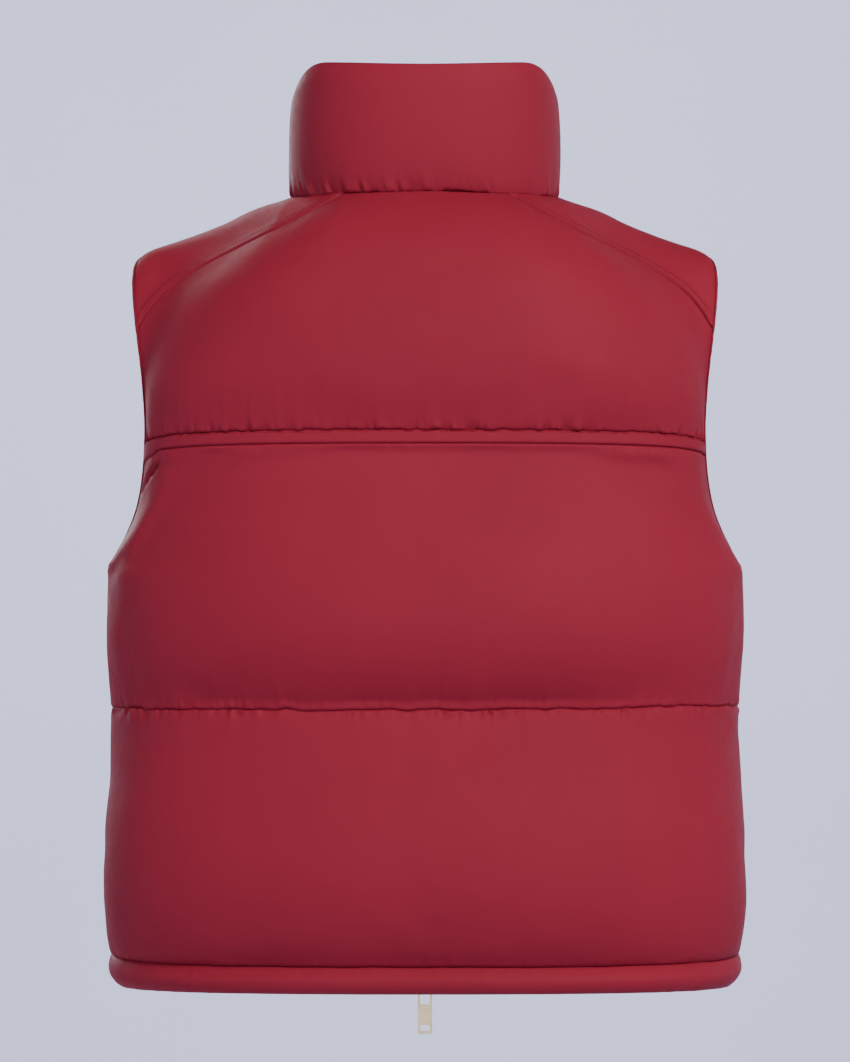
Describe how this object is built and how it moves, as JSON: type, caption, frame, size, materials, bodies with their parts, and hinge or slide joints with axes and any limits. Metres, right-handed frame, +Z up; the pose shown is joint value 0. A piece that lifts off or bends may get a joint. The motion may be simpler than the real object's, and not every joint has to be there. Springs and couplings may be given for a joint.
{
  "type": "quilted puffer vest",
  "caption": "Hollow zip-front puffer vest with stand-up collar, shoulder yokes, broad padded panels, a narrow padded hem and swinging zip pulls.",
  "frame": {"origin": "centre of the neck base, level with the points where the neck seam crosses the shoulders, where the wearer holds it up", "axes": "+Z up; the front with the zip faces -Y, the back +Y; the wearer's left is +X"},
  "size_m": [0.4982, 0.3195, 0.7586],
  "materials": {
    "shell_cloth": "smooth nylon taffeta with a soft satin sheen",
    "binding": "matte woven binding",
    "zip_tape": "matte woven tape",
    "pale_gold_metal": "pale gold plating, satin"
  },
  "bodies": {
    "garment": {"back_upper": "shell_cloth", "back_band": "shell_cloth", "back_middle": "shell_cloth", "back_lower": "shell_cloth", "hem_back": "shell_cloth", "front_upper_left": "shell_cloth", "front_upper_right": "shell_cloth", "front_middle_left": "shell_cloth", "front_middle_right": "shell_cloth", "front_lower_left": "shell_cloth", "front_lower_right": "shell_cloth", "hem_front_left": "shell_cloth", "hem_front_right": "shell_cloth", "yoke_left": "shell_cloth", "yoke_right": "shell_cloth", "yoke_strip_left": "shell_cloth", "yoke_strip_right": "shell_cloth", "collar": "shell_cloth", "armhole_binding_left": "binding", "armhole_binding_right": "binding", "zip_tape_left": "zip_tape", "zip_tape_right": "zip_tape", "zip_chain": "pale_gold_metal", "slider_lower": "pale_gold_metal", "slider_upper": "pale_gold_metal"},
    "lower_pull": {"pull_lower": "pale_gold_metal"},
    "upper_pull": {"pull_upper": "pale_gold_metal"}
  },
  "joints": [
    {"name": "lower_pull_swing", "type": "hinge", "parent": "garment", "child": "lower_pull", "pos_m": [0, -0.14659, -0.6191], "axis": [-1, 0, 0], "range_deg": [0, 160]},
    {"name": "upper_pull_swing", "type": "hinge", "parent": "garment", "child": "upper_pull", "pos_m": [0, -0.10261, 0.0654], "axis": [-1, 0, 0], "range_deg": [0, 160]}
  ]
}
